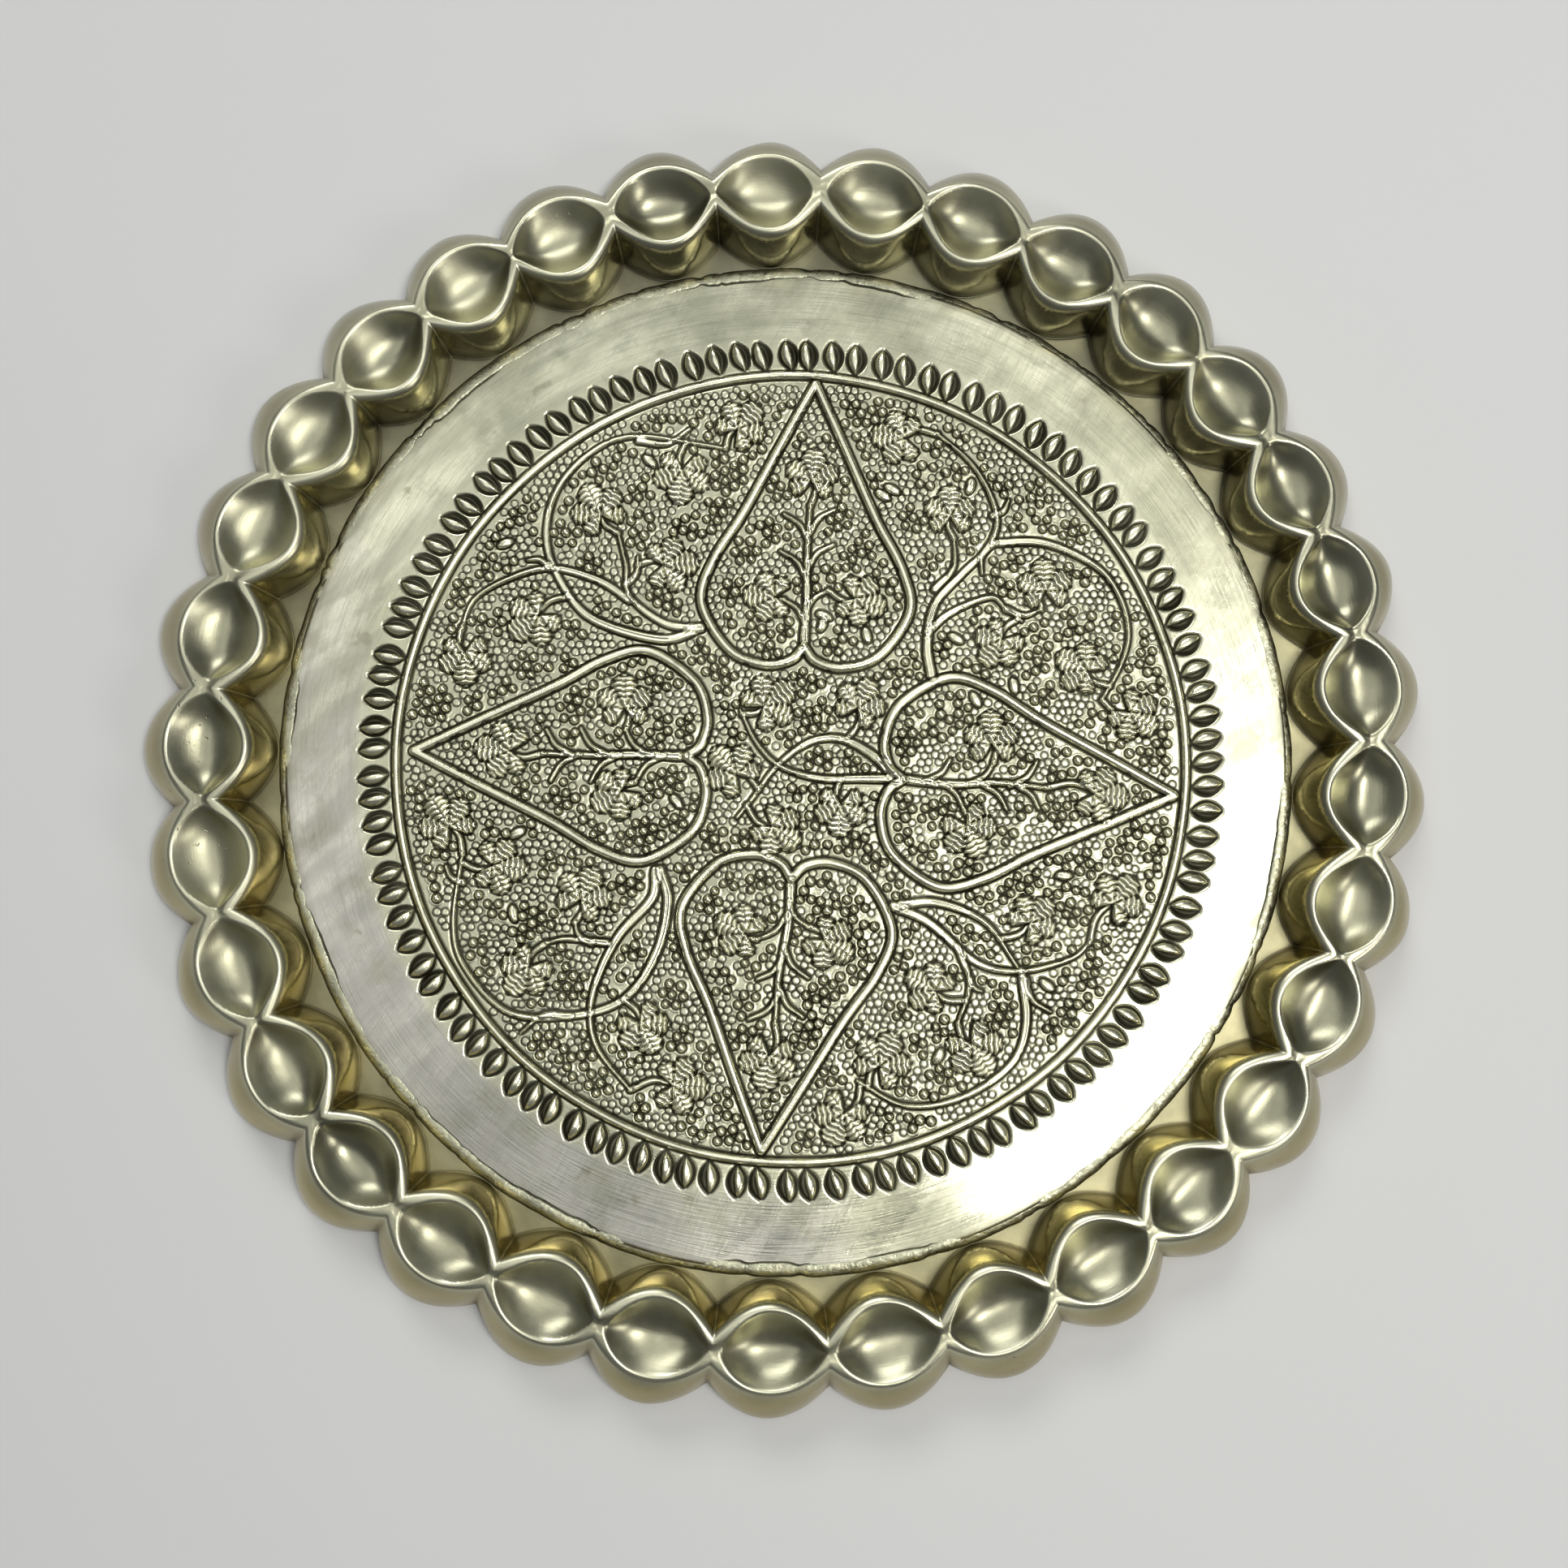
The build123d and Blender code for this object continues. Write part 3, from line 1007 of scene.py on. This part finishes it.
BRIGHT = (0.84, 0.82, 0.60, 1)
AGED = (0.52, 0.51, 0.36, 1)
GOLDEN = (0.50, 0.405, 0.14, 1)
LILAC = (0.45, 0.42, 0.42, 1)
# Near-black, for patina and for painted shade in recesses, folds and gaps.
PATINA_AND_SHADE = (0.019, 0.017, 0.008, 1)
DULL = (0.34, 0.335, 0.24, 1)
SHADED = (0.20, 0.165, 0.07, 1)
SPOTTED = (0.25, 0.22, 0.14, 1)
STREAKED = (0.34, 0.30, 0.17, 1)
RUST = (0.16, 0.07, 0.035, 1)
FLOOR_TONES = ((0.70, 0.69, 0.67, 1), (0.74, 0.73, 0.71, 1))


def plate_material():
    """Worn brass, dark in the chasing with patina and painted shade, brushed round the plain band, with a
    lilac tint to one side.
    """
    n = Nodes("chased_brass")
    recess = n.attribute("recess")
    worn = n.attribute("worn")
    cloud = n.noise(28.0, 5.0, 0.6)
    fine = n.noise(420.0, 3.0)
    streak = n.brushed(2200.0, 9.0)
    stroke = n.strokes(1300.0, 60.0, 1.05)
    # A lilac tint over the plain band, towards the lower left.
    toward = n.math("ADD", n.times(n.x, -6.0), n.times(n.y, -5.0))
    lilac_tint = n.between(n.math("ADD", toward, cloud), 0.75, 1.35)
    plain = n.between(n.radius, 0.104, 0.110)
    lilac_tint = n.times(lilac_tint, plain)
    band = n.strokes(150.0, 22.0, 0.7)
    colour = n.mix(n.between(cloud, 0.38, 0.64), AGED, BRIGHT)
    ring_band = n.brushed(260.0, 2.5)
    colour = n.tinted(colour, DULL, n.between(band, 0.42, 0.66), 0.4)
    colour = n.tinted(colour, DULL, n.between(ring_band, 0.45, 0.68), 0.45)
    colour = n.tinted(colour, LILAC, lilac_tint, 0.6)
    smudge = n.times(n.between(n.noise(75.0, 6.0, 0.65), 0.48, 0.66), plain)
    colour = n.tinted(colour, DULL, smudge, 0.5)
    colour = n.tinted(colour, DULL, n.between(streak, 0.5, 0.72), 0.35)
    colour = n.tinted(colour, DULL, n.between(stroke, 0.5, 0.72), 0.22)
    colour = n.mix(n.between(worn, 0.02, 0.45), colour, BRIGHT)
    colour = n.mix(plain, n.mix(n.between(worn, 0.0, 0.7), AGED, BRIGHT), colour)
    spots = n.between(n.noise(150.0, 2.0), 0.68, 0.74)
    colour = n.tinted(colour, SPOTTED, spots, 0.35)
    # Patina and painted shade in the recesses, broken into patches.
    patchy = n.between(n.noise(60.0), 0.2, 0.75, 0.85, 1.0)
    dirt_and_shade = n.times(n.between(recess, 0.08, 0.82), patchy)
    colour = n.mix(dirt_and_shade, colour, PATINA_AND_SHADE)
    rough = n.math("ADD", n.between(band, 0.35, 0.68, 0.17, 0.32), n.times(fine, 0.08))
    rough = n.math("ADD", rough, n.times(recess, 0.3), clamp=True)
    first = n.bump(streak, 0.5, 0.0001)
    second = n.bump(stroke, 0.3, 0.0001, first)
    return n.metal(colour, rough, n.bump(fine, 0.25, 0.0001, second))


def rim_material():
    """Polished brass: bright ridges, walls golden with painted reflection, painted shade and dirt in the
    folds, pitted in places.
    """
    n = Nodes("raised_brass")
    recess = n.attribute("recess")
    worn = n.attribute("worn")
    wall = n.attribute("wall")
    cloud = n.noise(34.0, 5.0, 0.6)
    fine = n.noise(650.0, 3.0)
    streak = n.brushed(1500.0, 26.0)
    colour = n.mix(n.between(cloud, 0.38, 0.64), DULL, AGED)
    # Painted reflection: the walls take a golden tone, strong on the near side of the tray and faint on the
    # far side.
    near_side_reflection = n.between(n.y, -0.04, 0.13, 0.95, 0.2)
    colour = n.mix(n.math("MULTIPLY", wall, near_side_reflection, clamp=True), colour, GOLDEN)
    colour = n.tinted(colour, STREAKED, n.between(streak, 0.5, 0.8), 0.25)
    # Painted shade over the whole rim: light over the bowls and inner side, stronger on the outer wall.
    colour = n.mix(n.between(n.radius, 0.1505, 0.1545, 0.18, 0.42), colour, SHADED)
    colour = n.tinted(colour, BRIGHT, worn, 0.55)
    pitted_patch = n.between(n.noise(17.0, 2.0), 0.6, 0.72)
    pits = n.times(n.between(n.noise(520.0, 2.0), 0.66, 0.72), pitted_patch)
    colour = n.tinted(colour, RUST, pits, 0.85)
    # Dirt and painted shade in the folds and low places, in patches.
    dirt_and_shade = n.math("MULTIPLY", recess, n.between(n.noise(90.0), 0.35, 0.65, 0.45, 1.0), clamp=True)
    colour = n.tinted(colour, PATINA_AND_SHADE, dirt_and_shade, 0.9)
    rough = n.math("ADD", n.between(cloud, 0.3, 0.7, 0.29, 0.42), n.times(recess, 0.3), clamp=True)
    rough = n.math("SUBTRACT", rough, n.times(wall, 0.18))
    first = n.bump(streak, 0.3, 0.00006)
    second = n.bump(fine, 0.25, 0.00008, first)
    return n.metal(colour, rough, n.bump(n.times(pits, -1.0), 0.6, 0.0003, second))


def solder_material():
    """Dull grey-gold solder, with dirt and painted shade in its gaps and low down at its edges."""
    n = Nodes("old_solder")
    recess = n.attribute("recess")
    grain = n.noise(900.0, 4.0)
    colour = n.mix(n.between(n.noise(120.0), 0.35, 0.7), AGED, DULL)
    # Dirt and painted shade from the seam's darkening, with dark specks of dirt.
    dirt_and_shade = n.math("ADD", n.times(recess, 0.6), n.between(grain, 0.62, 0.7, 0.0, 0.3), clamp=True)
    colour = n.mix(dirt_and_shade, colour, PATINA_AND_SHADE)
    return n.metal(colour, n.between(grain, 0.3, 0.7, 0.26, 0.48), n.bump(grain, 0.6, 0.0003))


def floor_material():
    """A plain pale matt surface."""
    n = Nodes("studio_floor")
    n.link(n.mix(n.noise(3.0), *FLOOR_TONES), n.shader.inputs["Base Color"])
    n.shader.inputs["Roughness"].default_value = 0.75
    return n.material


# --- The studio ---
def make_floor():
    """A pale floor, level with the foot of the rim."""
    half = 30000.0
    corners = [(-half, -half, 0), (half, -half, 0), (half, half, 0), (-half, half, 0)]
    mesh = bpy.data.meshes.new("floor")
    mesh.from_pydata([Vector(corner) * MM for corner in corners], [], [(0, 1, 2, 3)])
    floor = bpy.data.objects.new("floor", mesh)
    bpy.context.scene.collection.objects.link(floor)
    floor.data.materials.append(floor_material())


def add_light(name, place, aim, size, power, colour=(1, 1, 1), turn=0.0):
    """A rectangular soft light, in metres, facing a point and turned about its own axis in degrees."""
    data = bpy.data.lights.new(name, "AREA")
    data.shape = "RECTANGLE"
    data.size, data.size_y = size
    data.energy = power
    data.color = colour
    light = bpy.data.objects.new(name, data)
    facing = (Vector(aim) - Vector(place)).to_track_quat("-Z", "Y").to_matrix().to_4x4()
    light.matrix_world = Matrix.Translation(place) @ facing @ Matrix.Rotation(math.radians(turn), 4, "Z")
    bpy.context.scene.collection.objects.link(light)


def light_the_scene():
    """Soft lights above and at the sides, a strong one like a window, two further off, and a dim room."""
    add_light("overhead", (0.0, 0.24, 1.5), (0, 0.24, 0), (1.7, 1.45), 5.0, (0.96, 0.99, 1.0))
    add_light("left", (-0.62, 0.25, 1.45), (-0.62, 0.25, 0), (0.5, 0.9), 0.8)
    add_light("right", (0.45, 0.52, 1.45), (0.45, 0.52, 0), (0.4, 0.5), 0.45)
    add_light("window", (0.43, -0.11, 1.25), (0.43, -0.11, 0), (0.28, 0.44), 5.6, (1.0, 1.0, 0.98), -28)
    add_light("far", (-0.4, 1.7, 1.4), (0, 0, 0), (1.2, 0.6), 16.0, (0.97, 0.99, 1.0))
    add_light("near", (1.5, -1.0, 1.2), (0, 0, 0), (0.6, 0.6), 7.0, (1.0, 0.98, 0.95))
    world = bpy.data.worlds.new("room")
    world.use_nodes = True
    background = world.node_tree.nodes["Background"]
    background.inputs["Color"].default_value = (0.80, 0.84, 0.90, 1)
    background.inputs["Strength"].default_value = 0.16
    bpy.context.scene.world = world


def place_camera():
    """Almost straight above the tray, a little towards the near side, and level with its sides."""
    place = Vector((-8.9, -38.4, 420.9)) * MM
    aim = Vector((-1.1, -5.7, 1.8)) * MM
    back = (place - aim).normalized()
    right = Vector((0, 1, 0)).cross(back).normalized()
    up = back.cross(right)
    data = bpy.data.cameras.new("camera")
    data.sensor_width = 36.0
    data.lens = 38.6
    camera = bpy.data.objects.new("camera", data)
    turn = Matrix((right, up, back)).transposed().to_4x4()
    camera.matrix_world = Matrix.Translation(place) @ turn
    bpy.context.scene.collection.objects.link(camera)
    bpy.context.scene.camera = camera


place_camera()
make_plate().data.materials.append(plate_material())
make_rim().data.materials.append(rim_material())
make_seam().data.materials.append(solder_material())
make_floor()
light_the_scene()
bpy.context.scene.view_settings.view_transform = "Standard"
